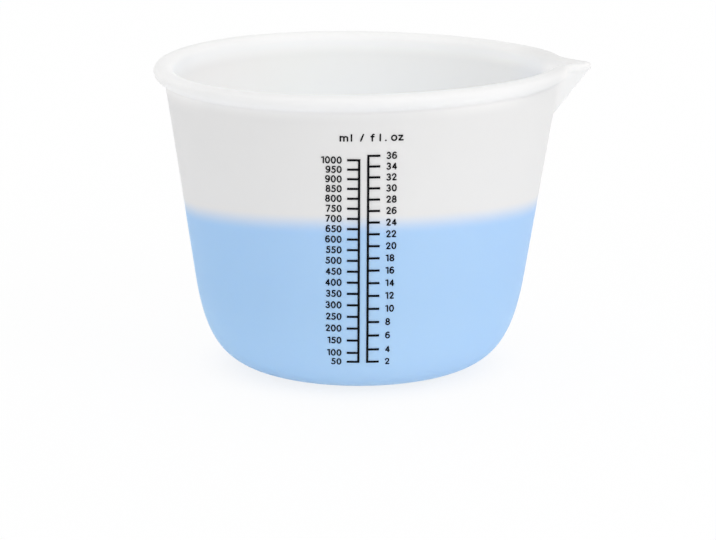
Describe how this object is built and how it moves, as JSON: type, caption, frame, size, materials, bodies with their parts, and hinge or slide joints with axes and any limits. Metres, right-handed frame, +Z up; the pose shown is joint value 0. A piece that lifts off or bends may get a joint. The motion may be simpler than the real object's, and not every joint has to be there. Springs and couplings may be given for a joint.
{
  "type": "silicone measuring cup",
  "caption": "Soft silicone measuring cup with a rounded bottom, beaded rim, pouring spout and printed millilitre and fluid ounce scales.",
  "frame": {"origin": "centre of the flat base's underside, on the cup's axis", "axes": "+Z up along the cup's axis, +X towards the pouring spout, -Y towards the printed scales"},
  "size_m": [0.1626, 0.1546, 0.1155],
  "materials": {
    "silicone": "satin, milky and translucent",
    "ink": "matte black print",
    "liquid": "clear pale blue liquid"
  },
  "bodies": {
    "root": {"cup_body": "silicone", "millilitre_scale": "ink", "fluid_ounce_scale": "ink"}
  },
  "joints": []
}
